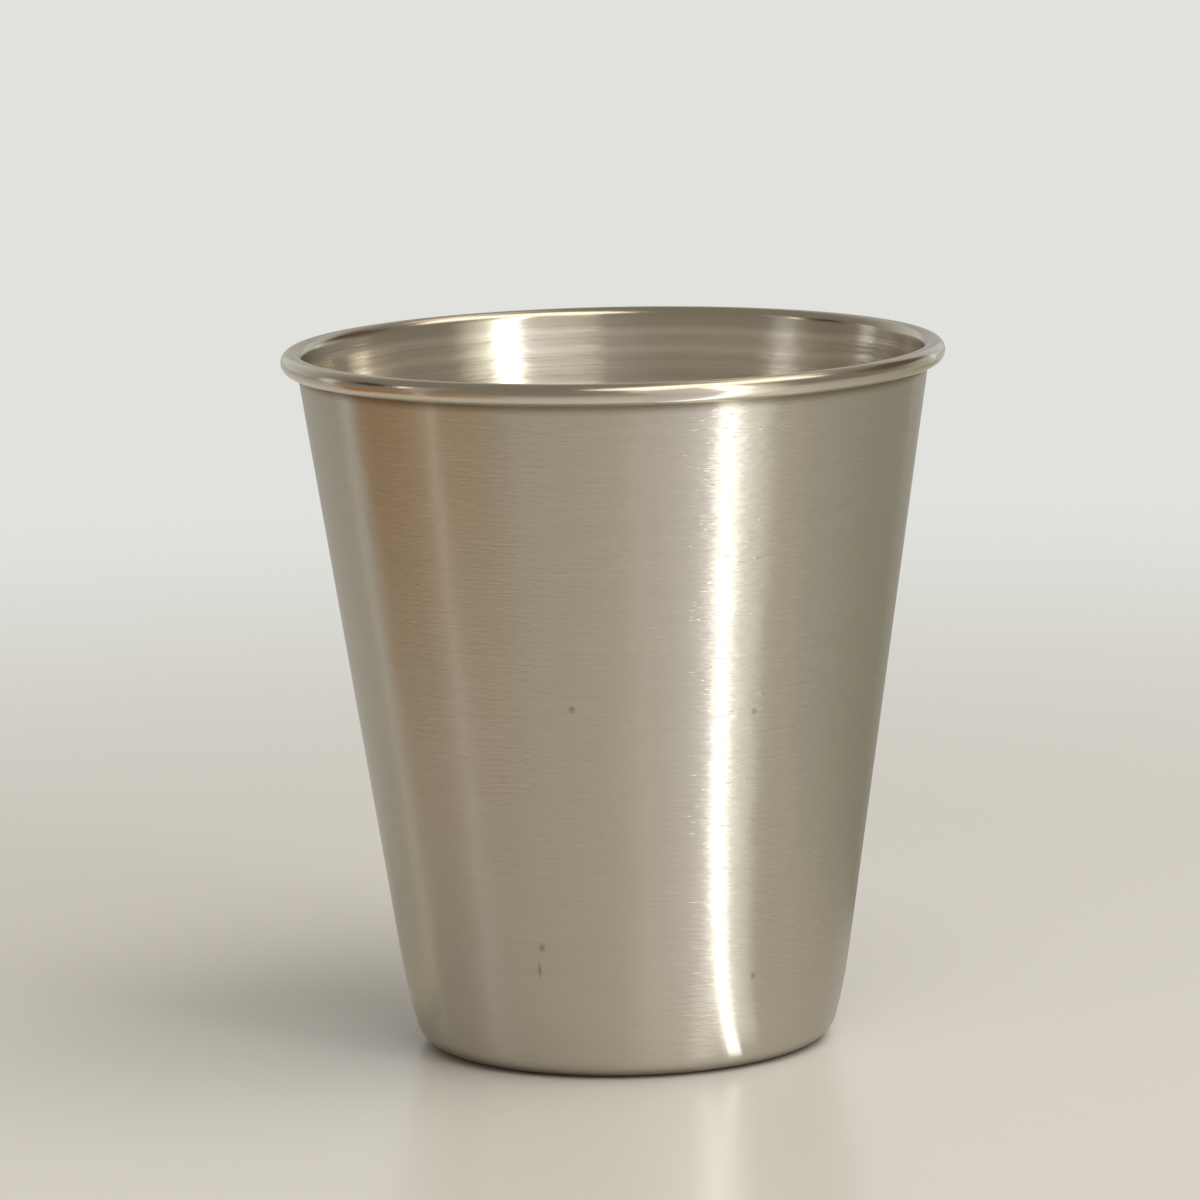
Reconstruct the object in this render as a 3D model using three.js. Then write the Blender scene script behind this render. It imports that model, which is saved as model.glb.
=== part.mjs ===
// A small double-walled metal tumbler, in millimetres, +Z up, standing on z = 0.
//
// It is two deep-drawn sheets. The outer shell is a satin-brushed tapered can with a raised panel
// in its base. The inner cup is bright inside, hangs in the shell with an air gap round it, and its
// lip is rolled out, over and under the shell's edge. That rolled bead is the only joint: it holds
// the two sheets together and gives the rim its smooth drinking edge.
//
// Each sheet is drawn as a walk along one face of the metal, in the plane of radius and height.
// The other face lies one sheet thickness to the side, and the closed outline is revolved.

import * as THREE from "three";

const DEGREE = Math.PI / 180;

// Overall sizes
const RIM_DIAMETER = 71; // over the rolled bead
const HEIGHT = 75.5; // table to the crest of the bead
const WALL_LEAN = 8.45 * DEGREE; // the shell's wall from upright

// Sheet metal
const SHELL_SHEET = 0.3;
const CUP_SHEET = 0.3;

// Rolled rim
const BEAD_DIAMETER = 2.3;
const SEAM_CLEARANCE = 0.1; // between the two sheets where the bead grips the shell
const GRIP_BAND = 3; // height below the bead over which the cup follows the shell

// Foot of the shell
const CORNER_RADIUS = 3; // outside, between the standing ring and the wall
const DRAW_RADIUS = 60; // the gentle draw-in just above that corner
const DRAW_TURN = 6.9 * DEGREE; // how much of the lean that draw-in takes up
const RING_WIDTH = 4; // flat ring that the tumbler stands on
const PANEL_RISE = 0.8; // base panel above the table
const PANEL_BEND = 1.2; // radius of the two bends that lift the panel

// Inner cup
const FLOOR_GAP = 3; // air between the base panel and the cup's floor
const WALL_GAP = 2.5; // air between the walls at the cup's floor
const FLOOR_RADIUS = 6; // inside, between the cup's floor and wall
const GRIP_BEND = 20; // soft bend where the cup's wall leaves the shell

// Smoothness of the revolved surfaces
const FACETS_AROUND = 64;
const BEND_STEP = 15 * DEGREE; // largest turn that one facet of a bend spans
const BEAD_STEP = 24 * DEGREE; // the same, round the small bead

const SATIN_STEEL = new THREE.MeshStandardMaterial({ color: "#9a9486", roughness: 0.34, metalness: 1 });
const BRIGHT_STEEL = new THREE.MeshStandardMaterial({ color: "#c8c3b6", roughness: 0.14, metalness: 1 });

// One face of a sheet, walked from the axis outwards: x is the radius and y the height.
class SheetFace {
  constructor(height) {
    this.heading = 0;
    this.points = [new THREE.Vector2(0, height)];
    this.sides = [new THREE.Vector2(0, 1)];
  }

  get end() {
    return this.points.at(-1);
  }

  forward(length) {
    const step = new THREE.Vector2(Math.cos(this.heading), Math.sin(this.heading));
    this.points.push(this.end.clone().addScaledVector(step, length));
    this.sides.push(this.leftSide());
    return this;
  }

  // A round bend: a positive angle turns left, towards +Z when walking outwards.
  bend(radius, angle, step = BEND_STEP) {
    const towardsCentre = Math.sign(angle) * radius;
    const centre = this.end.clone().addScaledVector(this.leftSide(), towardsCentre);
    const start = this.heading;
    const count = Math.max(2, Math.ceil(Math.abs(angle) / step));
    for (let i = 1; i <= count; i++) {
      this.heading = start + (angle * i) / count;
      this.points.push(centre.clone().addScaledVector(this.leftSide(), -towardsCentre));
      this.sides.push(this.leftSide());
    }
    return this;
  }

  leftSide() {
    return new THREE.Vector2(-Math.sin(this.heading), Math.cos(this.heading));
  }

  // Closed outline of the sheet, with its other face a thickness away to the left or right.
  outline(thickness, toTheLeft) {
    const across = toTheLeft ? thickness : -thickness;
    const otherFace = this.points.map((point, i) => point.clone().addScaledVector(this.sides[i], across));
    const [below, above] = toTheLeft ? [this.points, otherFace] : [otherFace, this.points];
    return [...below, ...above.toReversed()];
  }
}

function revolve(name, outline, material) {
  const geometry = new THREE.LatheGeometry(outline, FACETS_AROUND);
  const mesh = new THREE.Mesh(geometry, material);
  mesh.name = name;
  mesh.rotation.x = Math.PI / 2;
  return mesh;
}

// The rolled bead: a round curl that starts where the cup's inside face meets it, on a wall that
// leans with the shell.
const beadRadius = BEAD_DIAMETER / 2;
const outOfWall = new THREE.Vector2(Math.cos(WALL_LEAN), -Math.sin(WALL_LEAN));
const upTheWall = new THREE.Vector2(Math.sin(WALL_LEAN), Math.cos(WALL_LEAN));
const beadCentre = new THREE.Vector2(RIM_DIAMETER / 2 - beadRadius, HEIGHT - beadRadius);
const curlStart = beadCentre.clone().addScaledVector(outOfWall, -beadRadius);

// The shell's outside face at the seam, one cup sheet, a clearance and its own sheet further out.
// Its edge ends a clearance short of the start of the curl.
const shellFromCup = CUP_SHEET + SEAM_CLEARANCE + SHELL_SHEET;
const shellEdge = curlStart
  .clone()
  .addScaledVector(outOfWall, shellFromCup)
  .addScaledVector(upTheWall, -SEAM_CLEARANCE);
const shellRadiusAt = (height) => shellEdge.x - (shellEdge.y - height) * Math.tan(WALL_LEAN);

function makeOuterShell() {
  const footLean = WALL_LEAN + DRAW_TURN;
  const cornerRise = CORNER_RADIUS * (1 - Math.sin(footLean));
  const drawRise = DRAW_RADIUS * (Math.sin(footLean) - Math.sin(WALL_LEAN));
  const wallFoot = cornerRise + drawRise;
  const drawIn = DRAW_RADIUS * (Math.cos(WALL_LEAN) - Math.cos(footLean));
  const footRadius = shellRadiusAt(wallFoot) - drawIn - CORNER_RADIUS * Math.cos(footLean);

  // The panel is lifted by two equal bends, one each way.
  const panelBend = Math.acos(1 - PANEL_RISE / (2 * PANEL_BEND));
  const panelRadius = footRadius - RING_WIDTH - 2 * PANEL_BEND * Math.sin(panelBend);

  const outside = new SheetFace(PANEL_RISE)
    .forward(panelRadius)
    .bend(PANEL_BEND, -panelBend)
    .bend(PANEL_BEND, panelBend)
    .forward(RING_WIDTH)
    .bend(CORNER_RADIUS, Math.PI / 2 - footLean)
    .bend(DRAW_RADIUS, DRAW_TURN, DRAW_TURN / 3)
    .forward((shellEdge.y - wallFoot) / Math.cos(WALL_LEAN));
  return revolve("outer_shell", outside.outline(SHELL_SHEET, true), SATIN_STEEL);
}

function makeInnerCup() {
  const floorHeight = PANEL_RISE + SHELL_SHEET + FLOOR_GAP + CUP_SHEET;
  const floorEdge = new THREE.Vector2(
    shellRadiusAt(floorHeight) - SHELL_SHEET - WALL_GAP - CUP_SHEET,
    floorHeight,
  );
  const gripFoot = curlStart.clone().addScaledVector(upTheWall, -GRIP_BAND);
  const wall = gripFoot.clone().sub(floorEdge);
  const cupLean = Math.atan2(wall.x, wall.y);

  // Straight runs stop short of each bend by the bend's own tangent.
  const floorTurn = Math.PI / 2 - cupLean;
  const floorTangent = FLOOR_RADIUS * Math.tan(floorTurn / 2);
  const gripTurn = cupLean - WALL_LEAN;
  const gripTangent = GRIP_BEND * Math.tan(gripTurn / 2);

  // The curl goes on until its edge is a clearance from the shell's outside face.
  const curlEndReach = (shellFromCup + SEAM_CLEARANCE - beadRadius) / beadRadius;
  const curlTurn = Math.PI + Math.acos(curlEndReach);

  const inside = new SheetFace(floorHeight)
    .forward(floorEdge.x - floorTangent)
    .bend(FLOOR_RADIUS, floorTurn)
    .forward(wall.length() - floorTangent - gripTangent)
    .bend(GRIP_BEND, gripTurn)
    .forward(GRIP_BAND - gripTangent)
    .bend(beadRadius, -curlTurn, BEAD_STEP);
  return revolve("inner_cup", inside.outline(CUP_SHEET, false), BRIGHT_STEEL);
}

const tumbler = new THREE.Group();
tumbler.name = "metal_tumbler";
tumbler.add(makeOuterShell(), makeInnerCup());

export default tumbler;
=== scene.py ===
# %% [markdown]
# # A small double-walled metal tumbler
#
# The tumbler is two drawn steel sheets. The outer shell is a tapered can with a satin finish, brushed
# round and round. The inner cup is bright, and its lip is rolled out and down over the shell's edge
# as a round bead. Both sheets are bodies of revolution, so the whole object comes from two outlines,
# one Geometry Nodes tree that revolves them, and two steel finishes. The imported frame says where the
# object stands and how large it may be.

import math

import bpy
from mathutils import Matrix, Vector


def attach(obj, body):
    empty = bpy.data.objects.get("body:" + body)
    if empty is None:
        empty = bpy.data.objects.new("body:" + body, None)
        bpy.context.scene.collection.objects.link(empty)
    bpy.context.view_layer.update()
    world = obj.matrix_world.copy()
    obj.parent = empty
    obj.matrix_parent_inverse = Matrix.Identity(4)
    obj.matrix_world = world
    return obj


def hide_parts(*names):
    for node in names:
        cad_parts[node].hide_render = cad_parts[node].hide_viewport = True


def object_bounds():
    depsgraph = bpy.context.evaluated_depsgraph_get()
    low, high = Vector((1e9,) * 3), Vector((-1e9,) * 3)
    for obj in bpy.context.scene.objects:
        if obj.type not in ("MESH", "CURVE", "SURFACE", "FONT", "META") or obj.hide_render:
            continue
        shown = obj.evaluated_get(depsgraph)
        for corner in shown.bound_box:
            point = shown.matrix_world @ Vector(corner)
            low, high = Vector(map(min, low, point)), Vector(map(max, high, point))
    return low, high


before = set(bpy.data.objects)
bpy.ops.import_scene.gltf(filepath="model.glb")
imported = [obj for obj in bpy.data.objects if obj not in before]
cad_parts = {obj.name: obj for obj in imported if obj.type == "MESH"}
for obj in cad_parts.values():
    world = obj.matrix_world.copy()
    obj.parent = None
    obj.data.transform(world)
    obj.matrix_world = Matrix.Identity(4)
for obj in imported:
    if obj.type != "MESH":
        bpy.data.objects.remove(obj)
cad_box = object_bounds()
print("CAD box in metres:", [[round(value, 4) for value in corner] for corner in cad_box])

# %% [markdown]
# ## Sizes
#
# A sheet-metal drawing needs few numbers: what the rim and the height measure, how far the wall leans,
# how thick the sheets are, and the radius of each bend. Everything else follows, because each sheet
# runs on smoothly from one bend to the next and the bead has to close on the shell.

# %% Driving sizes, in millimetres and radians
MM = 0.001

RIM_DIAMETER = 71.0
HEIGHT = 75.5
WALL_LEAN = math.radians(8.45)
SHELL_SHEET = 0.3
CUP_SHEET = 0.3

BEAD_DIAMETER = 2.3
SEAM_CLEARANCE = 0.1
GRIP_BAND = 3.0

CORNER_RADIUS = 3.0
DRAW_RADIUS = 60.0
DRAW_TURN = math.radians(6.9)
RING_WIDTH = 4.0
PANEL_RISE = 0.8
PANEL_BEND = 1.2

FLOOR_GAP = 3.0
WALL_GAP = 2.5
FLOOR_RADIUS = 6.0
GRIP_BEND = 20.0

cad_width = (cad_box[1].x - cad_box[0].x) / MM
cad_height = (cad_box[1].z - cad_box[0].z) / MM
print(f"rim {RIM_DIAMETER} mm and height {HEIGHT} mm; the frame has {cad_width:.2f} and {cad_height:.2f}")

# %% [markdown]
# ## Walking along a sheet
#
# A drawn sheet is easiest to describe the way a press forms it: go straight, bend up with this radius,
# go straight, curl over. So one face of the sheet is walked from the axis outwards, as a turtle draws,
# and the other face lies one sheet thickness to the side of every step. Bends get a point every few
# degrees and straight runs a point every few millimetres, which keeps reflections smooth.

# %% The walker
BEND_STEP = math.radians(4)
BEAD_STEP = math.radians(7)
DRAW_STEP = DRAW_TURN / 6  # the draw-in is so gentle that it needs finer steps
RUN_STEP = 5.0


class SheetFace:
    """One face of a sheet in the plane of radius and height, starting on the axis."""

    def __init__(self, height):
        self.heading = 0.0
        self.points = [Vector((0.0, height))]
        self.sides = [self.left_side()]

    def left_side(self):
        return Vector((-math.sin(self.heading), math.cos(self.heading)))

    def add(self, point):
        self.points.append(point)
        self.sides.append(self.left_side())

    def forward(self, length):
        start = self.points[-1]
        along = Vector((math.cos(self.heading), math.sin(self.heading)))
        count = max(1, math.ceil(length / RUN_STEP))
        for i in range(1, count + 1):
            self.add(start + along * (length * i / count))
        return self

    def bend(self, radius, angle, step=BEND_STEP):
        """A round bend; a positive angle turns left, which is up when walking outwards."""
        to_centre = math.copysign(radius, angle)
        centre = self.points[-1] + self.left_side() * to_centre
        start = self.heading
        count = max(2, math.ceil(abs(angle) / step))
        for i in range(1, count + 1):
            self.heading = start + angle * i / count
            self.add(centre - self.left_side() * to_centre)
        return self

    def outline(self, thickness):
        """Both faces of the sheet as one open outline; a negative thickness lies to the right."""
        other = [point + side * thickness for point, side in zip(self.points, self.sides)]
        below, above = (self.points, other) if thickness > 0 else (other, self.points)
        return below + above[::-1]


print("walker ready: bends every", round(math.degrees(BEND_STEP), 1), "degrees")

# %% [markdown]
# ## The seam at the rim
#
# The bead's outermost point sets the rim and its crest sets the height, so its centre is known first.
# The cup's wall runs into the bead along a tangent. Going outwards from there come the cup's sheet, a
# hair of clearance and the shell's sheet, so the shell's place follows from the bead too.

# %% Where the bead and the shell's edge lie
bead_radius = BEAD_DIAMETER / 2
out_of_wall = Vector((math.cos(WALL_LEAN), -math.sin(WALL_LEAN)))
up_the_wall = Vector((math.sin(WALL_LEAN), math.cos(WALL_LEAN)))
bead_centre = Vector((RIM_DIAMETER / 2 - bead_radius, HEIGHT - bead_radius))
curl_start = bead_centre - out_of_wall * bead_radius
shell_from_cup = CUP_SHEET + SEAM_CLEARANCE + SHELL_SHEET
shell_edge = curl_start + out_of_wall * shell_from_cup - up_the_wall * SEAM_CLEARANCE


def shell_radius_at(height):
    return shell_edge.x - (shell_edge.y - height) * math.tan(WALL_LEAN)


print(f"bead centre at radius {bead_centre.x:.2f}, height {bead_centre.y:.2f} mm")

# %% [markdown]
# ## The two outlines
#
# The shell starts with a slightly raised panel in its base, steps down to the flat ring it stands on,
# turns up through a tight corner and a gentle draw-in, and runs straight to the seam. The cup has a
# generous radius at its floor, a wall that leans a little more than the shell's so that the two part
# below the rim, and the curl, which goes on until its edge meets the shell.

# %% Outline of the outer shell
foot_lean = WALL_LEAN + DRAW_TURN
corner_rise = CORNER_RADIUS * (1 - math.sin(foot_lean))
draw_rise = DRAW_RADIUS * (math.sin(foot_lean) - math.sin(WALL_LEAN))
wall_foot = corner_rise + draw_rise
draw_in = DRAW_RADIUS * (math.cos(WALL_LEAN) - math.cos(foot_lean))
foot_radius = shell_radius_at(wall_foot) - draw_in - CORNER_RADIUS * math.cos(foot_lean)
panel_turn = math.acos(1 - PANEL_RISE / (2 * PANEL_BEND))
panel_radius = foot_radius - RING_WIDTH - 2 * PANEL_BEND * math.sin(panel_turn)

shell_outline = (
    SheetFace(PANEL_RISE)
    .forward(panel_radius)
    .bend(PANEL_BEND, -panel_turn)
    .bend(PANEL_BEND, panel_turn)
    .forward(RING_WIDTH)
    .bend(CORNER_RADIUS, math.pi / 2 - foot_lean)
    .bend(DRAW_RADIUS, DRAW_TURN, DRAW_STEP)
    .forward((shell_edge.y - wall_foot) / math.cos(WALL_LEAN))
    .outline(SHELL_SHEET)
)
print(f"shell outline: {len(shell_outline)} points, foot radius {foot_radius:.2f} mm")

# %% Outline of the inner cup
floor_height = PANEL_RISE + SHELL_SHEET + FLOOR_GAP + CUP_SHEET
floor_edge = Vector((shell_radius_at(floor_height) - SHELL_SHEET - WALL_GAP - CUP_SHEET, floor_height))
cup_wall = curl_start - up_the_wall * GRIP_BAND - floor_edge
cup_lean = math.atan2(cup_wall.x, cup_wall.y)
floor_turn = math.pi / 2 - cup_lean
floor_tangent = FLOOR_RADIUS * math.tan(floor_turn / 2)
grip_turn = cup_lean - WALL_LEAN
grip_tangent = GRIP_BEND * math.tan(grip_turn / 2)
curl_turn = math.pi + math.acos((shell_from_cup + SEAM_CLEARANCE - bead_radius) / bead_radius)

cup_outline = (
    SheetFace(floor_height)
    .forward(floor_edge.x - floor_tangent)
    .bend(FLOOR_RADIUS, floor_turn)
    .forward(cup_wall.length - floor_tangent - grip_tangent)
    .bend(GRIP_BEND, grip_turn)
    .forward(GRIP_BAND - grip_tangent)
    .bend(bead_radius, -curl_turn, BEAD_STEP)
    .outline(-CUP_SHEET)
)
print(f"cup outline: {len(cup_outline)} points, wall leans {math.degrees(cup_lean):.1f} degrees")

# %% [markdown]
# ## Helpers for the node trees
#
# Shader trees and Geometry Nodes trees are filled the same way: add a node, set what it needs, link
# its inputs. A name that the node has as a property is set there; any other name or number is one of
# its input sockets. Four kinds of node come back again and again in the shader trees, so each has a
# helper that returns what the node gives out.


# %% The node helper
def add_node(tree, kind, settings=None, links=None):
    node = tree.nodes.new(kind)
    for name, value in (settings or {}).items():
        if isinstance(name, str) and hasattr(node, name):
            setattr(node, name, value)
        else:
            node.inputs[name].default_value = value
    for name, source in (links or {}).items():
        tree.links.new(source, node.inputs[name])
    return node


def linear(hex_colour):
    """An sRGB colour such as "#9a9486" as the linear RGBA that sockets hold."""
    channels = [int(hex_colour[i : i + 2], 16) / 255 for i in (1, 3, 5)]
    return [c / 12.92 if c <= 0.04045 else ((c + 0.055) / 1.055) ** 2.4 for c in channels] + [1.0]


print("mid grey in linear light:", round(linear("#808080")[0], 3))

# %% Helpers for the shader trees
MIX_FIRST, MIX_SECOND, MIX_RESULT = 6, 7, 2  # the colour sockets of a Mix node
MARK_DETAIL = 1.0


def ramp(tree, value, start, end, smooth=False, lowest=0.0):
    """Goes from lowest to 1 while the value goes from start to end."""
    settings = {
        "interpolation_type": "SMOOTHSTEP" if smooth else "LINEAR",
        "From Min": start,
        "From Max": end,
        "To Min": lowest,
    }
    return add_node(tree, "ShaderNodeMapRange", settings, {"Value": value}).outputs["Result"]


def combine(tree, operation, first, second):
    """Two values brought together by a Math node, such as MULTIPLY or MINIMUM."""
    joined = add_node(tree, "ShaderNodeMath", {"operation": operation}, {0: first, 1: second})
    return joined.outputs["Value"]


def mix_colours(tree, share, first, second):
    """The first colour where the share is 0, the second where it is 1; each is "#rrggbb" or a socket."""
    settings = {"data_type": "RGBA"}
    links = {0: share}
    for socket, colour in ((MIX_FIRST, first), (MIX_SECOND, second)):
        if isinstance(colour, str):
            settings[socket] = linear(colour)
        else:
            links[socket] = colour
    return add_node(tree, "ShaderNodeMix", settings, links).outputs[MIX_RESULT]


def stretched_noise(tree, place, length, width):
    """Noise whose marks are this long round the axis and this wide up the wall, in millimetres."""
    cells = (1 / (length * MM), 1 / (length * MM), 1 / (width * MM))
    stretched = add_node(tree, "ShaderNodeMapping", {"Scale": cells}, {"Vector": place})
    settings = {"Scale": 1.0, "Detail": MARK_DETAIL}
    noise = add_node(tree, "ShaderNodeTexNoise", settings, {"Vector": stretched.outputs["Vector"]})
    return noise.outputs["Fac"]


print("shader helpers ready; marks have", MARK_DETAIL, "level of detail")

# %% [markdown]
# ## What the two steels share
#
# Brushing and drawing both mark the sheet round the axis, and a reflection is drawn out across such
# marks. So in both finishes the tangent runs round Z and the stretch lies a quarter turn from it.

# %% A steel to start from
QUARTER_TURN = 0.25  # the shader counts in whole turns


def new_steel(name, roughness, anisotropy):
    steel = bpy.data.materials.new(name)
    steel.use_nodes = True
    tree = steel.node_tree
    shader = tree.nodes["Principled BSDF"]
    shader.inputs["Metallic"].default_value = 1.0
    shader.inputs["Roughness"].default_value = roughness
    shader.inputs["Anisotropic"].default_value = anisotropy
    shader.inputs["Anisotropic Rotation"].default_value = QUARTER_TURN
    round_axis = add_node(tree, "ShaderNodeTangent", {"direction_type": "RADIAL", "axis": "Z"})
    tree.links.new(round_axis.outputs["Tangent"], shader.inputs["Tangent"])
    return steel, shader


print("reflections stretch", QUARTER_TURN, "turn from the marks")

# %% [markdown]
# ## Satin steel for the shell
#
# The shell is stainless steel, finished with a fine belt while it turns. The belt leaves scratches that
# run round the axis, so a lamp's reflection stays narrow around the cup and is drawn out along its
# height into one long streak. Anisotropy on the shader gives that streak, with its tangent running
# round Z. The single marks are relief on top of it: long brush lines, short ripples that make the
# streak's edges ragged, stray nicks that catch the lamp beside it, and slow waves in the sheet. Real
# brush lines are about 0.02 mm wide, too fine for a picture, so they are drawn several times coarser.

# %% Satin brushed stainless steel: shader and relief
SATIN_STEEL_COLOURS = "#bdb7ab", "#c8c2b6"
SATIN_ROUGHNESS = 0.29
SATIN_ANISOTROPY = 0.96
SATIN_EDGE_TINT = "#e0e0e0"  # brushing dulls the steel where it is seen edge on
# Length round the axis, width up the wall and depth in millimetres, and the levels of noise used
BRUSH_LINES = 9.0, 0.16, 0.013, (0.0, 1.0)
RIPPLES = 1.8, 0.3, 0.03, (0.0, 1.0)
NICKS = 1.6, 0.22, 0.018, (0.69, 0.79)
WAVES = 4.0, 7.0, 0.03, (0.0, 1.0)

satin, satin_shader = new_steel("satin_brushed_stainless_steel", SATIN_ROUGHNESS, SATIN_ANISOTROPY)
satin_shader.inputs["Specular Tint"].default_value = linear(SATIN_EDGE_TINT)
tree = satin.node_tree
satin_place = add_node(tree, "ShaderNodeTexCoord").outputs["Object"]
satin_normal = add_node(tree, "ShaderNodeNewGeometry").outputs["Normal"]
for length, width, depth, (low, high) in (WAVES, RIPPLES, NICKS, BRUSH_LINES):
    satin_noise = stretched_noise(tree, satin_place, length, width)
    relief = add_node(
        tree,
        "ShaderNodeBump",
        {"Strength": 1.0, "Distance": depth * MM},
        {"Height": ramp(tree, satin_noise, low, high), "Normal": satin_normal},
    )
    satin_normal = relief.outputs["Normal"]
tree.links.new(satin_normal, satin_shader.inputs["Normal"])
print("made", satin.name, "with", len(tree.nodes), "nodes")

# %% [markdown]
# ## Tone, grime and painted shade of the satin steel
#
# Bare steel has one colour, but the last brush lines, read again here, make it a little lighter and
# darker by turns. The corner under the bead gets a thin brownish line: mostly painted shade, with some
# polish and grime left in the seam. A few small pits get dark spots, which are painted shade standing in
# for small dents. Both are the same painted darkening, laid on by nearness: a distance that is 0 at the
# seam or in the middle of a pit and 1 where the steel is clear of it again.

# %% Satin brushed stainless steel: tone, grime and painted shade
# Colour of the painted shade under the bead and in the pits; at the seam it also stands for polish and grime
SHADE_AND_GRIME_COLOUR = "#827b69"
SEAM_SHADE = 1.25  # how far down the wall the line under the bead fades out
# Small dents in the wall, shown only as dark spots of painted shade
# Degrees to the right of the front, height, half width and half height in millimetres
PITS = (
    (-10.0, 40.8, 0.6, 0.7),
    (-20.4, 14.6, 0.6, 0.8),
    (-21.5, 11.9, 0.36, 1.5),
    (33.3, 10.5, 0.55, 0.6),
    (29.0, 39.6, 0.6, 0.7),
)
PIT_STAND_OFF = 0.4  # pits are fainter than the seam: their middle floats this share of a half width out

visible_top = bead_centre.y - bead_radius
satin_height = add_node(tree, "ShaderNodeSeparateXYZ", {}, {"Vector": satin_place}).outputs["Z"]
# Painted shade: full just under the bead and gone SEAM_SHADE mm lower down the wall
away_from_shade = ramp(tree, satin_height, visible_top * MM, (visible_top - SEAM_SHADE) * MM)
# Each pit adds a round spot of the same painted shade
for turn, up, half_width, half_height in PITS:
    azimuth = math.radians(turn)
    wall = shell_radius_at(up) + PIT_STAND_OFF * half_width
    pit_frame = {
        "vector_type": "TEXTURE",
        "Location": (math.sin(azimuth) * wall * MM, -math.cos(azimuth) * wall * MM, up * MM),
        "Rotation": (0, 0, azimuth),
        "Scale": (half_width * MM, half_width * MM, half_height * MM),
    }
    in_pit = add_node(tree, "ShaderNodeMapping", pit_frame, {"Vector": satin_place})
    off_pit = add_node(tree, "ShaderNodeVectorMath", {"operation": "LENGTH"}, {0: in_pit.outputs["Vector"]})
    away_from_shade = combine(tree, "MINIMUM", off_pit.outputs["Value"], away_from_shade)
# How much painted shade, with grime at the seam, each point takes
shade_and_grime = ramp(tree, away_from_shade, 1.0, 0.0, smooth=True)
steel_tone = mix_colours(tree, satin_noise, *SATIN_STEEL_COLOURS)
shaded_and_grimed = mix_colours(tree, shade_and_grime, steel_tone, SHADE_AND_GRIME_COLOUR)
tree.links.new(shaded_and_grimed, satin_shader.inputs["Base Color"])
print("stained the seam and", len(PITS), "pits")

# %% [markdown]
# ## Bright steel for the cup
#
# The cup keeps the bright face of the rolled sheet. Drawing it through the die leaves rings round the
# wall: broad ones that bend the reflections into bands, and fine lines between them. The curling tool
# polishes the bead, so the rings stop short of it; there the colour stays near the darker steel colour,
# which is painted shade that dims the bead's reflections. Rings follow the sheet and not the height,
# because the floor has them too, so they read how far along the sheet a point lies.

# %% Bright drawn stainless steel
# Darker and lighter tone of the rings; the darker one also covers the bead as painted shade
BRIGHT_STEEL_COLOURS = "#b4ac9c", "#eee8dc"
BRIGHT_ROUGHNESS = 0.2
BRIGHT_ANISOTROPY = 0.7
# Pitch and depth in millimetres
BROAD_RINGS = 1.5, 0.05
FINE_RINGS = 0.4, 0.006
RING_DETAIL = 3.0
# The wall is not quite round: length round the axis, length up the wall and depth
DENTS = 3.0, 0.7, 0.022
# On the bead this share also keeps the colour near the darker steel colour, which is painted shade
LEFT_ON_BEAD = 0.15  # share of all this that the curling tool leaves on the bead

bright, bright_shader = new_steel("bright_drawn_stainless_steel", BRIGHT_ROUGHNESS, BRIGHT_ANISOTROPY)
tree = bright.node_tree
bright_place = add_node(tree, "ShaderNodeTexCoord").outputs["Object"]
bright_height = add_node(tree, "ShaderNodeSeparateXYZ", {}, {"Vector": bright_place}).outputs["Z"]
rings_start = (bead_centre.y + bead_radius / 2) * MM
rings_full = (bead_centre.y - bead_radius) * MM
below_bead = ramp(tree, bright_height, rings_start, rings_full, lowest=LEFT_ON_BEAD)
dent_length, dent_width, dent_depth = DENTS
dents = stretched_noise(tree, bright_place, dent_length, dent_width)
relief = add_node(
    tree, "ShaderNodeBump", {"Distance": dent_depth * MM}, {"Height": dents, "Strength": below_bead}
)
along = add_node(tree, "ShaderNodeAttribute", {"attribute_name": "along_sheet"}).outputs["Fac"]
for pitch, depth in (FINE_RINGS, BROAD_RINGS):
    rings = add_node(
        tree,
        "ShaderNodeTexNoise",
        {"noise_dimensions": "1D", "Scale": 1 / (pitch * MM), "Detail": RING_DETAIL},
        {"W": along},
    ).outputs["Fac"]
    relief = add_node(
        tree,
        "ShaderNodeBump",
        {"Distance": depth * MM},
        {"Height": rings, "Strength": below_bead, "Normal": relief.outputs["Normal"]},
    )
tree.links.new(relief.outputs["Normal"], bright_shader.inputs["Normal"])
# Rings give the wall a random tone; on the bead the share stays small, so the bead takes the darker colour as
# painted shade
ring_share_and_bead_shade = combine(tree, "MULTIPLY", rings, below_bead)
ring_tone_and_bead_shade = mix_colours(tree, ring_share_and_bead_shade, *BRIGHT_STEEL_COLOURS)
tree.links.new(ring_tone_and_bead_shade, bright_shader.inputs["Base Color"])
print("made", bright.name, "with", len(tree.nodes), "nodes")

# %% [markdown]
# ## Revolving an outline
#
# A lathe could be done with the Screw modifier, but a node tree keeps its sizes as named inputs and can
# store, on every point, how far along the sheet it lies. The outline is swept along a tiny circle: the
# sweep adds the circle's radius to every point, so the outline is drawn that much nearer the axis. The
# points on the axis fall together and are merged, which closes the poles.

# %% The Revolve Sheet tree
POLE_MERGE = 0.001 * MM  # points on the axis lie closer together than this

revolve_tree = bpy.data.node_groups.new("Revolve Sheet", "GeometryNodeTree")
interface = revolve_tree.interface
interface.new_socket("Outline", in_out="INPUT", socket_type="NodeSocketGeometry")
facets_socket = interface.new_socket("Facets Around", in_out="INPUT", socket_type="NodeSocketInt")
rail_socket = interface.new_socket("Rail Radius", in_out="INPUT", socket_type="NodeSocketFloat")
finish_socket = interface.new_socket("Finish", in_out="INPUT", socket_type="NodeSocketMaterial")
interface.new_socket("Sheet", in_out="OUTPUT", socket_type="NodeSocketGeometry")

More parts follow.
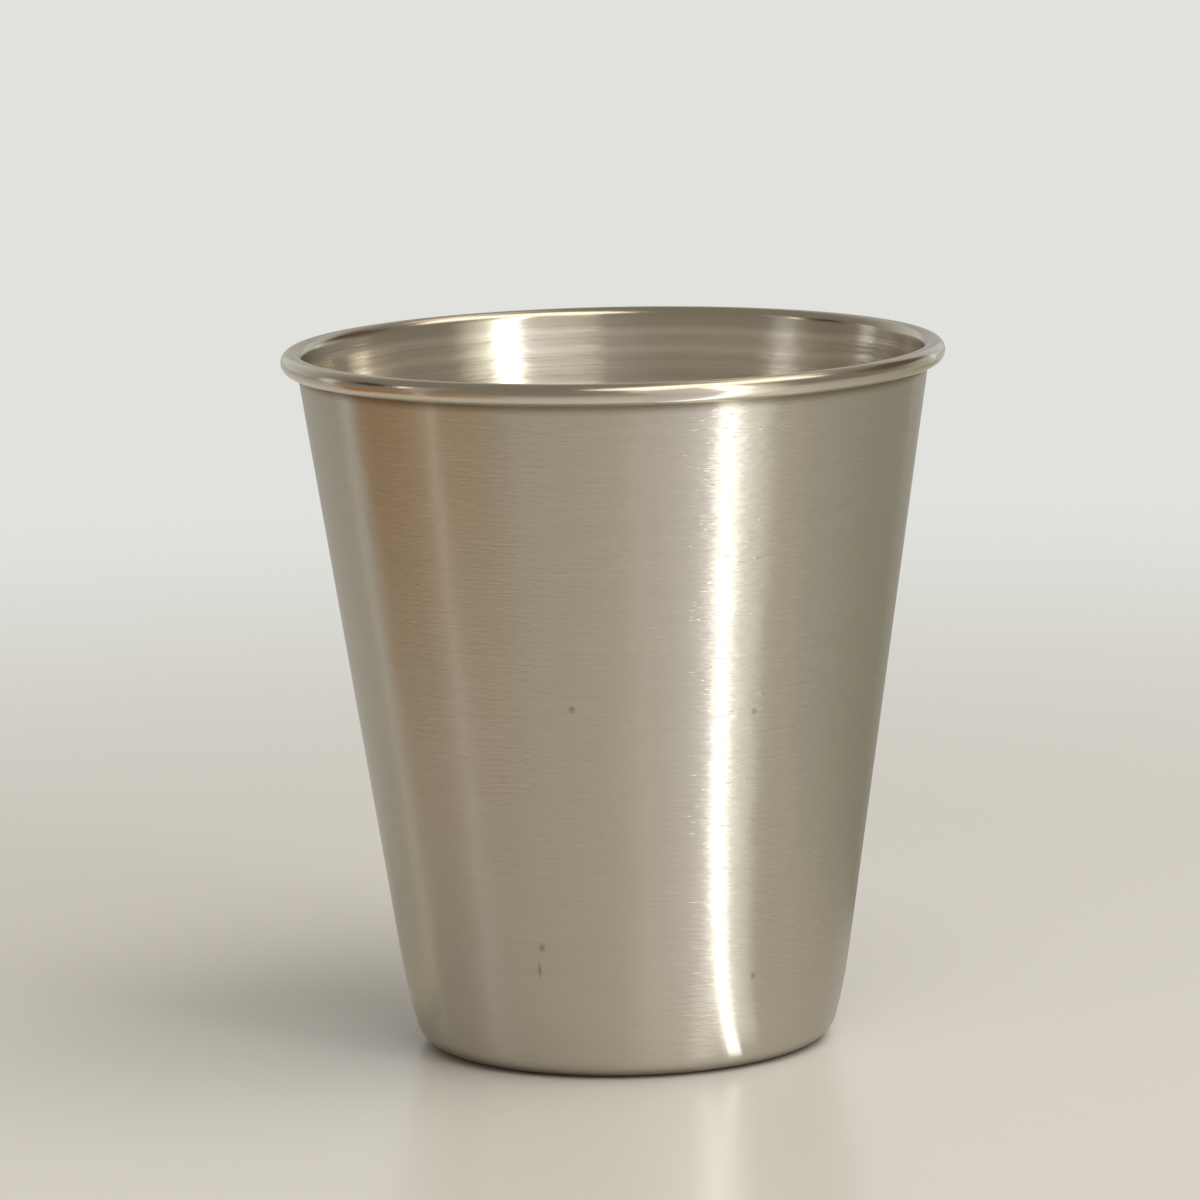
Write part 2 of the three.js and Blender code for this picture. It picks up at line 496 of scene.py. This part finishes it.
given = add_node(revolve_tree, "NodeGroupInput").outputs
rail = add_node(
    revolve_tree,
    "GeometryNodeCurvePrimitiveCircle",
    {},
    {"Resolution": given["Facets Around"], "Radius": given["Rail Radius"]},
)
walked = add_node(revolve_tree, "GeometryNodeSplineParameter")
measured = add_node(
    revolve_tree,
    "GeometryNodeStoreNamedAttribute",
    {"data_type": "FLOAT", "domain": "POINT", "Name": "along_sheet"},
    {"Geometry": given["Outline"], "Value": walked.outputs["Length"]},
)
swept = add_node(
    revolve_tree,
    "GeometryNodeCurveToMesh",
    {},
    {"Curve": rail.outputs["Curve"], "Profile Curve": measured.outputs["Geometry"]},
)
closed = add_node(
    revolve_tree, "GeometryNodeMergeByDistance", {"Distance": POLE_MERGE}, {"Geometry": swept.outputs["Mesh"]}
)
outward = add_node(revolve_tree, "GeometryNodeFlipFaces", {}, {"Mesh": closed.outputs["Geometry"]})
real = add_node(revolve_tree, "GeometryNodeRealizeInstances", {}, {"Geometry": outward.outputs["Mesh"]})
finished = add_node(
    revolve_tree,
    "GeometryNodeSetMaterial",
    {},
    {"Geometry": real.outputs["Geometry"], "Material": given["Finish"]},
)
add_node(revolve_tree, "NodeGroupOutput", {}, {"Sheet": finished.outputs["Geometry"]})
print("tree ready:", revolve_tree.name)

# %% [markdown]
# ## Making the two pieces
#
# Each outline becomes a curve, the tree turns it into a sheet, and the evaluated result is kept as a
# plain mesh. Edges sharper than 40 degrees, which are only the cut edges of the sheet, stay crisp.

# %% From outline to piece
FACETS_AROUND = 256
RAIL_RADIUS = 0.5 * MM
SHARP_EDGE = math.radians(40)


def make_sheet(name, outline, finish):
    curve = bpy.data.curves.new(name, "CURVE")
    curve.dimensions = "3D"
    spline = curve.splines.new("POLY")
    spline.points.add(len(outline) - 1)
    for point, (radius, height) in zip(spline.points, outline):
        point.co = (radius * MM - RAIL_RADIUS, -height * MM, 0, 1)
    drawing = bpy.data.objects.new(name + "_outline", curve)
    bpy.context.collection.objects.link(drawing)
    lathe = drawing.modifiers.new("Revolve Sheet", "NODES")
    lathe.node_group = revolve_tree
    lathe[facets_socket.identifier] = FACETS_AROUND
    lathe[rail_socket.identifier] = RAIL_RADIUS
    lathe[finish_socket.identifier] = finish

    evaluated = drawing.evaluated_get(bpy.context.evaluated_depsgraph_get())
    mesh = bpy.data.meshes.new_from_object(evaluated)
    bpy.data.objects.remove(drawing)
    mesh.name = name
    mesh.shade_smooth()
    mesh.set_sharp_from_angle(angle=SHARP_EDGE)
    piece = bpy.data.objects.new(name, mesh)
    bpy.context.collection.objects.link(piece)
    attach(piece, "root")
    return piece


shell = make_sheet("satin_shell", shell_outline, satin)
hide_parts("outer_shell")
cup = make_sheet("bright_cup", cup_outline, bright)
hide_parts("inner_cup")
for piece in (shell, cup):
    print(piece.name, len(piece.data.polygons), "faces, size", [round(v / MM, 2) for v in piece.dimensions])

# %% [markdown]
# ## Floor, light and room tone
#
# Bare metal shows nothing but what surrounds it, so the surroundings are part of the look. A pale floor
# fills the picture and the lower half of every reflection. Far from the tumbler it fades, for the camera
# only, into a pale backdrop, so that no edge shows from any side.

# %% The floor
FLOOR_COLOUR = "#d6d3cb"
FLOOR_ROUGHNESS = 0.22
BACKDROP_COLOUR = "#e1e2dd"
FLOOR_SIZE = 12.0
FLOOR_DROP = 0.02 * MM  # keeps the floor's face apart from the ring's
FADE_FROM, FADE_TO = 0.1, 0.42

floor_mesh = bpy.data.meshes.new("floor")
half = FLOOR_SIZE / 2
low = -FLOOR_DROP
corners = [(-half, -half, low), (half, -half, low), (half, half, low), (-half, half, low)]
floor_mesh.from_pydata(corners, [], [(0, 1, 2, 3)])
floor = bpy.data.objects.new("floor", floor_mesh)
bpy.context.collection.objects.link(floor)

floor_finish = bpy.data.materials.new("pale_floor")
floor_finish.use_nodes = True
floor_mesh.materials.append(floor_finish)
tree = floor_finish.node_tree
shader = tree.nodes["Principled BSDF"]
shader.inputs["Base Color"].default_value = linear(FLOOR_COLOUR)
shader.inputs["Roughness"].default_value = FLOOR_ROUGHNESS
place = add_node(tree, "ShaderNodeTexCoord").outputs["Object"]
reach = add_node(tree, "ShaderNodeVectorMath", {"operation": "LENGTH"}, {0: place})
fade = ramp(tree, reach.outputs["Value"], FADE_FROM, FADE_TO, smooth=True)
seen = add_node(tree, "ShaderNodeLightPath").outputs["Is Camera Ray"]
seen_fade = combine(tree, "MULTIPLY", fade, seen)
clear = add_node(tree, "ShaderNodeBsdfTransparent")
faded = add_node(
    tree,
    "ShaderNodeMixShader",
    {},
    {0: seen_fade, 1: shader.outputs["BSDF"], 2: clear.outputs["BSDF"]},
)
tree.links.new(faded.outputs["Shader"], tree.nodes["Material Output"].inputs["Surface"])
print("floor", FLOOR_SIZE, "m wide")

# %% [markdown]
# ## Lamps and cards
#
# A tall lamp to the right of the camera makes the long streak, and shows a second time in the hollow of
# the cup. A broad lamp overhead draws the bright line along the crest of the bead, a small one behind
# does the same on the far side, and a fill lamp that reflections don't see lights the floor.
# Photographers also set plain cards round bright metal to put tone into its sides. Some lie on the
# floor, where the leaning wall looks: white under the streak, pale beside it, brown at the left and
# olive at the right. Others stand further off, for the bead and for the inside, which look outwards
# and up. Only reflections see the cards.


# %% The lamps
def direction_to(azimuth, elevation):
    """A unit vector; azimuth is in degrees to the right of the camera's side, elevation above the floor."""
    turn, rise = math.radians(azimuth), math.radians(elevation)
    return Vector((math.sin(turn) * math.cos(rise), -math.cos(turn) * math.cos(rise), math.sin(rise)))


def add_lamp(name, azimuth, elevation, distance, size, colour, radiance, in_reflections=True):
    """A soft rectangular lamp, size wide and tall, aimed at the middle of the tumbler."""
    lamp = bpy.data.lights.new(name, "AREA")
    lamp.shape = "RECTANGLE"
    lamp.size, lamp.size_y = size
    lamp.color = linear(colour)[:3]
    lamp.energy = radiance * math.pi * size[0] * size[1]
    holder = bpy.data.objects.new(name, lamp)
    away = direction_to(azimuth, elevation)
    holder.location = Vector((0, 0, HEIGHT * MM / 2)) + away * distance
    holder.rotation_euler = away.to_track_quat("Z", "Y").to_euler()
    holder.visible_camera = False
    holder.visible_glossy = in_reflections
    bpy.context.collection.objects.link(holder)


add_lamp("tall_lamp", 42, 24, 1.1, (0.18, 0.9), "#ffffff", 4)
add_lamp("overhead_lamp", 55, 65, 1.2, (1.4, 0.6), "#fffaf0", 2.4)
add_lamp("back_lamp", 148, 58, 1.1, (0.4, 0.28), "#fff0e0", 1.2)
add_lamp("fill_lamp", 50, 57, 1.2, (1.3, 1.3), "#f6f8ff", 1.5, in_reflections=False)


# %% How a card is made
CARD_STEPS = 12


def add_card(name, azimuths, reach, heights, tones, strength=1.0, centre=(0.0, 0.0)):
    """A card between two azimuths, from one edge to the other in reach and in height.

    Azimuths are in degrees, the rest in metres. Its tone runs from the first azimuth to the second.
    """
    mesh = bpy.data.meshes.new(name)
    points, colours = [], []
    for i in range(CARD_STEPS + 1):
        share = i / CARD_STEPS
        turn = azimuths[0] + (azimuths[1] - azimuths[0]) * share
        for distance, height in zip(reach, heights):
            points.append(Vector((*centre, height)) + direction_to(turn, 0) * distance)
            colours.append(Vector(linear(tones[0])).lerp(Vector(linear(tones[1])), share))
    faces = [(2 * i, 2 * i + 1, 2 * i + 3, 2 * i + 2) for i in range(CARD_STEPS)]
    mesh.from_pydata(points, [], faces)
    tone = mesh.color_attributes.new("tone", "FLOAT_COLOR", "POINT")
    for corner, colour in zip(tone.data, colours):
        corner.color = colour
    card = bpy.data.objects.new(name, mesh)
    bpy.context.collection.objects.link(card)
    card.visible_camera = card.visible_diffuse = card.visible_shadow = False

    paint = bpy.data.materials.new(name)
    paint.use_nodes = True
    tree = paint.node_tree
    painted = add_node(tree, "ShaderNodeAttribute", {"attribute_name": "tone"}).outputs["Color"]
    glow = add_node(tree, "ShaderNodeEmission", {"Strength": strength}, {"Color": painted})
    clear = add_node(tree, "ShaderNodeBsdfTransparent")
    underside = add_node(tree, "ShaderNodeNewGeometry").outputs["Backfacing"]
    faced = add_node(
        tree,
        "ShaderNodeMixShader",
        {},
        {0: underside, 1: glow.outputs["Emission"], 2: clear.outputs["BSDF"]},
    )
    tree.links.new(faced.outputs["Shader"], tree.nodes["Material Output"].inputs["Surface"])
    mesh.materials.append(paint)


# %% Cards on the floor
LYING = (0.5 * MM, 0.5 * MM)

# White and pale cards fan out from a point under the foot, so the streak leans as the wall does
STREAK_FOOT = (0.005, -0.011)
add_card("streak_card", (37.5, 45.8), (0.012, 0.6), LYING, ("#ffffff", "#ffffff"), 3.0, STREAK_FOOT)
add_card("pale_card_right", (45.8, 60), (0.015, 0.6), LYING, ("#ffffff", "#cdd4c1"), 1.45, STREAK_FOOT)
add_card("pale_card_left", (10, 37.5), (0.03, 0.6), LYING, ("#d0ccc8", "#ece8ea"), 1.08, STREAK_FOOT)

# Brown at the left, with a narrow light gap, soft at both ends and paler near the foot
BROWN_REACH = (0.15, 0.5)
add_card("brown_card_start", (-110, -100), BROWN_REACH, LYING, ("#c4bcae", "#b0834e"))
add_card("brown_card_left", (-100, -68.4), BROWN_REACH, LYING, ("#b0834e", "#bb8f5a"))
add_card("light_gap_card", (-68.4, -66.6), BROWN_REACH, LYING, ("#f2e0cc", "#f2e0cc"), 1.3)
add_card("brown_card_right", (-66.6, -47), BROWN_REACH, LYING, ("#bb905c", "#c4a070"))
add_card("brown_card_end", (-47, -36), BROWN_REACH, LYING, ("#c4a070", "#c2bcb0"))
add_card("pale_card_foot", (-142, -88), (0.03, 0.09), LYING, ("#bab4a6", "#c4bca8"))

# Olive at the right, soft at both ends too
OLIVE_REACH = (0.06, 0.4)
add_card("olive_card", (72, 138), OLIVE_REACH, LYING, ("#d2cec2", "#a8a491"))
add_card("olive_card_end", (138, 185), OLIVE_REACH, LYING, ("#a8a491", "#d0ccc4"))

# %% Standing cards
FAR = (1.1, 1.1)
NEAR = (0.5, 0.5)
TALL = (0.0, 1.0)

# Beside the tall lamp, for the shoulders of its reflection inside the cup
add_card("white_screen_right", (47, 64), FAR, TALL, ("#fbfff0", "#908678"), 1.5)
add_card("white_screen_left", (10, 37), FAR, (0.0, 0.36), ("#cfcac6", "#fffafe"), 1.12)
add_card("white_screen_above", (5, 37), FAR, (0.36, 1.2), ("#f2e8dc", "#fff6ea"))
add_card("grey_screen", (-14, 10), FAR, (0.16, 0.36), ("#98938d", "#c4bfbb"), 1.1)

# Paler and cooler strips inside the cup, at its right and left
add_card("cool_screen", (-75, -66), FAR, TALL, ("#c0c2ce", "#c4c2c4"))
add_card("pale_screen", (-119, -110), FAR, (0.0, 0.4), ("#c4c6c4", "#cdceca"), 1.6)
add_card("white_screen_behind", (143, 147), FAR, (0.0, 0.27), ("#ffffff", "#ffffff"), 1.3)

# Darker and brighter stretches at the two ends of the bead
add_card("brown_screen", (-103, -86), NEAR, (0.2, 0.36), ("#4c2608", "#4c2608"))
add_card("glint_screen", (-81, -77), NEAR, (0.25, 0.36), ("#fff0d8", "#fff0d8"), 4.0)
add_card("dark_screen", (104, 144), FAR, (0.35, 0.92), ("#8a7668", "#66524a"))
add_card("grey_screen_behind", (166, 194), FAR, (0.0, 0.5), ("#bebcb8", "#bebcb8"))

# %% [markdown]
# ## Room tone
#
# What no lamp or card covers is a plain room, warm and rather dark. The camera sees the pale backdrop
# instead, all round, and so do reflections of the low part behind the tumbler, where a backdrop stands.

# %% The room tone
ROOM_FRONT = "#a19a8e"
ROOM_SIDE = "#9a9389"
ROOM_ABOVE = "#a09a90"
# Where each blend starts and ends, along Y or Z of a direction of length 1
TO_FRONT = -0.2, -0.9
TO_BACK = 0.35, 0.9
LOW_DOWN = 0.8, 0.3

world = bpy.data.worlds.new("soft_room")
bpy.context.scene.world = world
world.use_nodes = True
tree = world.node_tree
direction = add_node(tree, "ShaderNodeTexCoord").outputs["Generated"]
parts = add_node(tree, "ShaderNodeSeparateXYZ", {}, {"Vector": direction}).outputs
to_front = ramp(tree, parts["Y"], *TO_FRONT, smooth=True)
to_back = ramp(tree, parts["Y"], *TO_BACK, smooth=True)
low_down = ramp(tree, parts["Z"], *LOW_DOWN, smooth=True)
around = mix_colours(tree, to_front, ROOM_SIDE, ROOM_FRONT)
walls_and_above = mix_colours(tree, low_down, ROOM_ABOVE, around)
rays = add_node(tree, "ShaderNodeLightPath").outputs
low_back = combine(tree, "MULTIPLY", to_back, low_down)
reflected = combine(tree, "MULTIPLY", low_back, rays["Is Glossy Ray"])
sees_backdrop = combine(tree, "MAXIMUM", reflected, rays["Is Camera Ray"])
room = mix_colours(tree, sees_backdrop, walls_and_above, BACKDROP_COLOUR)
tree.links.new(room, tree.nodes["Background"].inputs["Color"])
print("room tone ready")

# %% [markdown]
# ## The camera
#
# The camera looks slightly down from a hand's height above the foot, less than a metre away, with a
# long lens and a little roll. Fitting the tumbler's outline to the photograph gave these values.

# %% The camera
# Millimetres from the axis and above the floor
CAMERA_DISTANCE = 726.7
CAMERA_HEIGHT = 162.7
CAMERA_PITCH = math.radians(8.987)
CAMERA_YAW = math.radians(0.152)
CAMERA_ROLL = math.radians(-1.238)
IMAGE_SIDE = 1200
FOCAL_PIXELS = 6842.7

camera_data = bpy.data.cameras.new("camera")
camera_data.lens = FOCAL_PIXELS / IMAGE_SIDE * camera_data.sensor_width
camera = bpy.data.objects.new("camera", camera_data)
bpy.context.collection.objects.link(camera)
camera.matrix_world = (
    Matrix.Translation((0, -CAMERA_DISTANCE * MM, CAMERA_HEIGHT * MM))
    @ Matrix.Rotation(CAMERA_YAW, 4, "Z")
    @ Matrix.Rotation(math.pi / 2 - CAMERA_PITCH, 4, "X")
    @ Matrix.Rotation(CAMERA_ROLL, 4, "Z")
)
bpy.context.scene.camera = camera
bpy.context.scene.view_settings.view_transform = "Standard"
print(f"lens {camera_data.lens:.1f} mm")
